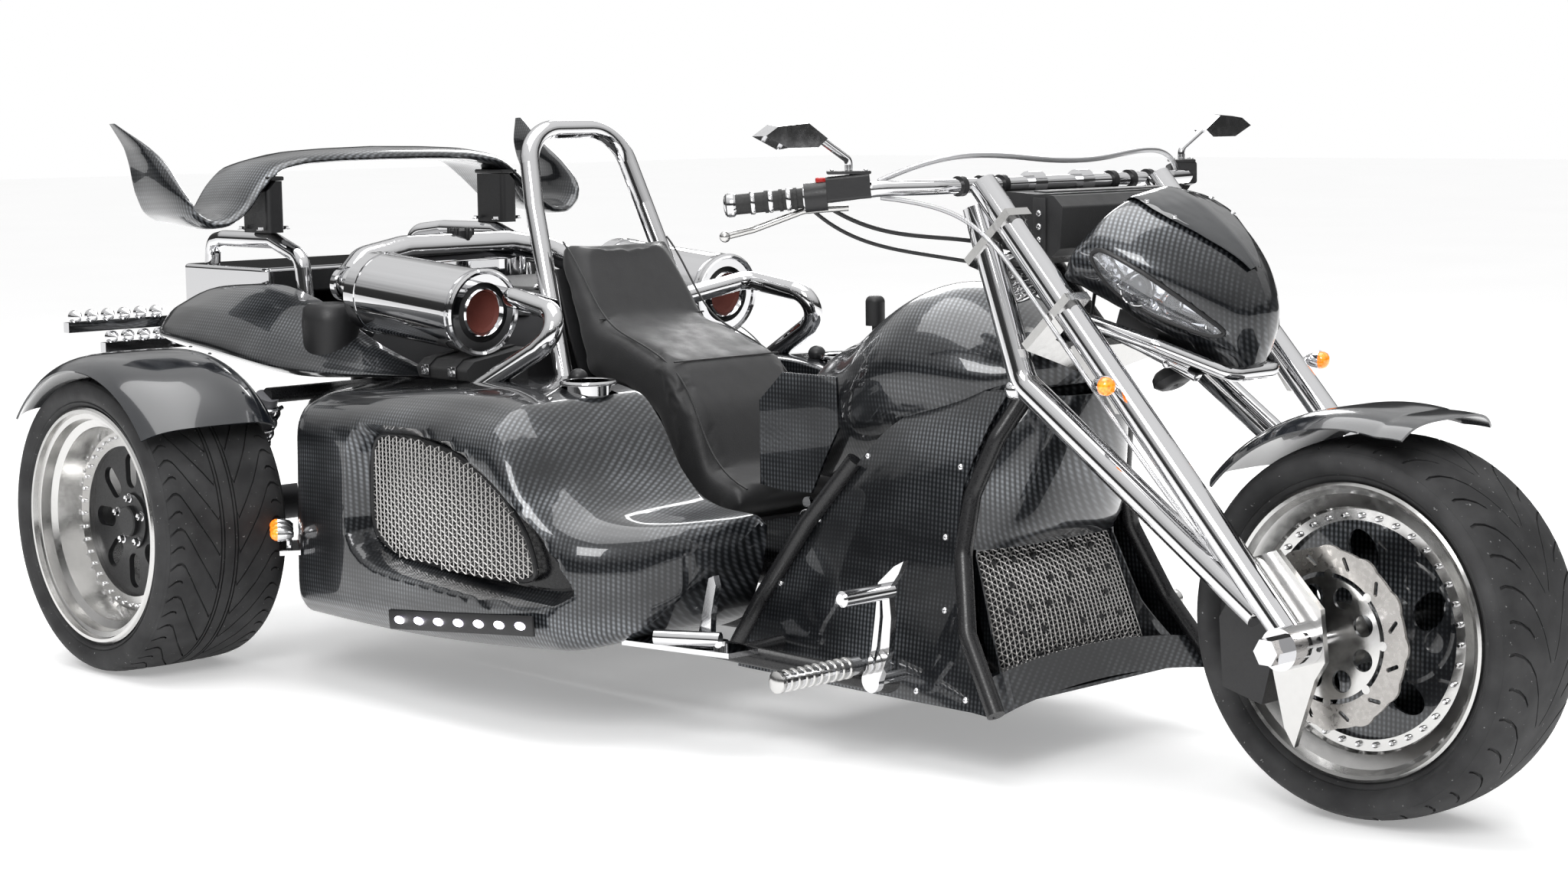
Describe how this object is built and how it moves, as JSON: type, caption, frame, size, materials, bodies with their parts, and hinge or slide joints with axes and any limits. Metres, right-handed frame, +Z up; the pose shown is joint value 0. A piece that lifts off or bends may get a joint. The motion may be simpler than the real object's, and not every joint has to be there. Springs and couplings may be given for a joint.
{
  "type": "three-wheel motorcycle",
  "caption": "Custom three-wheel motorcycle with wide rear wheels, raked fork, side pods, stepped seat, hoop, side air cans and rear wing.",
  "frame": {"origin": "on the ground below the middle of the overall box", "axes": "+X forward, +Y to the rider's left, +Z up"},
  "size_m": [3.6159, 1.88, 1.206],
  "materials": {
    "aluminium": "polished",
    "amber": "clear",
    "brushed": "brushed",
    "carbon": "clear-coated weave",
    "cast_metal": "cast",
    "chrome": "polished",
    "clear_glass": "clear",
    "cover_black": "satin",
    "frame_black": "satin",
    "gloss_black": "gloss",
    "grey_metal": "satin",
    "grip_rubber": "ribbed",
    "leather": "grained",
    "light_strip": "clear",
    "mesh": "expanded mesh",
    "tyre": "tread"
  },
  "bodies": {
    "chassis": {"air_cans": "chrome", "brake_pedal": "chrome", "cross_pipe": "chrome", "cup_holders": "chrome", "edge_tubes": "frame_black", "engine": "cast_metal", "engine_cover": "cover_black", "front_grille": "mesh", "front_shell": "carbon", "gear_lever": "cover_black", "hoop_and_armrests": "chrome", "led_strips": "light_strip", "light_bars": "chrome", "luggage_rolls": "leather", "main_frame": "frame_black", "pillion_pegs": "chrome", "pod_meshes": "mesh", "rear_axle": "cast_metal", "rear_mudguards": "gloss_black", "rear_wing": "carbon", "rider_pegs": "chrome", "seat": "leather", "seat_pan": "cover_black", "shocks": "grey_metal", "side_lamp_bars": "chrome", "side_pods": "carbon", "tail_box": "chrome", "tail_rack": "chrome", "tail_shells": "carbon", "tank_cover": "carbon", "wing_pylons": "cover_black"},
    "steering": {"bar_controls": "cover_black", "caliper_brackets": "aluminium", "calipers": "cover_black", "chin_bar": "chrome", "fork_bag": "leather", "fork_gussets": "aluminium", "fork_left": "chrome", "fork_right": "chrome", "front_axle": "chrome", "front_blinkers": "amber", "front_mudguard": "gloss_black", "grips": "grip_rubber", "handlebar": "chrome", "headlamps": "clear_glass", "levers": "aluminium", "mirrors": "chrome", "nacelle": "carbon", "yokes": "aluminium"},
    "front_wheel": {"brake_rotors": "brushed", "front_disc_plates": "carbon", "front_hub": "aluminium", "front_rim": "aluminium", "front_tyre": "tyre"},
    "rear_wheel_left": {"rear_centre_left": "cover_black", "rear_rim_left": "aluminium", "rear_tyre_left": "tyre"},
    "rear_wheel_right": {"rear_centre_right": "cover_black", "rear_rim_right": "aluminium", "rear_tyre_right": "tyre"}
  },
  "joints": [
    {"name": "steering", "type": "hinge", "parent": "chassis", "child": "steering", "pos_m": [0.772, 0, 0.85], "axis": [-0.6871, 0, 0.7266], "range_deg": [-25, 25]},
    {"name": "front_wheel_spin", "type": "hinge", "parent": "steering", "child": "front_wheel", "pos_m": [1.47, 0, 0.33], "axis": [0, 1, 0], "continuous": true},
    {"name": "rear_wheel_right_spin", "type": "hinge", "parent": "chassis", "child": "rear_wheel_right", "pos_m": [-1.258, -0.764, 0.328], "axis": [0, 1, 0], "continuous": true},
    {"name": "rear_wheel_left_spin", "type": "hinge", "parent": "chassis", "child": "rear_wheel_left", "pos_m": [-1.258, 0.764, 0.328], "axis": [0, 1, 0], "continuous": true}
  ]
}
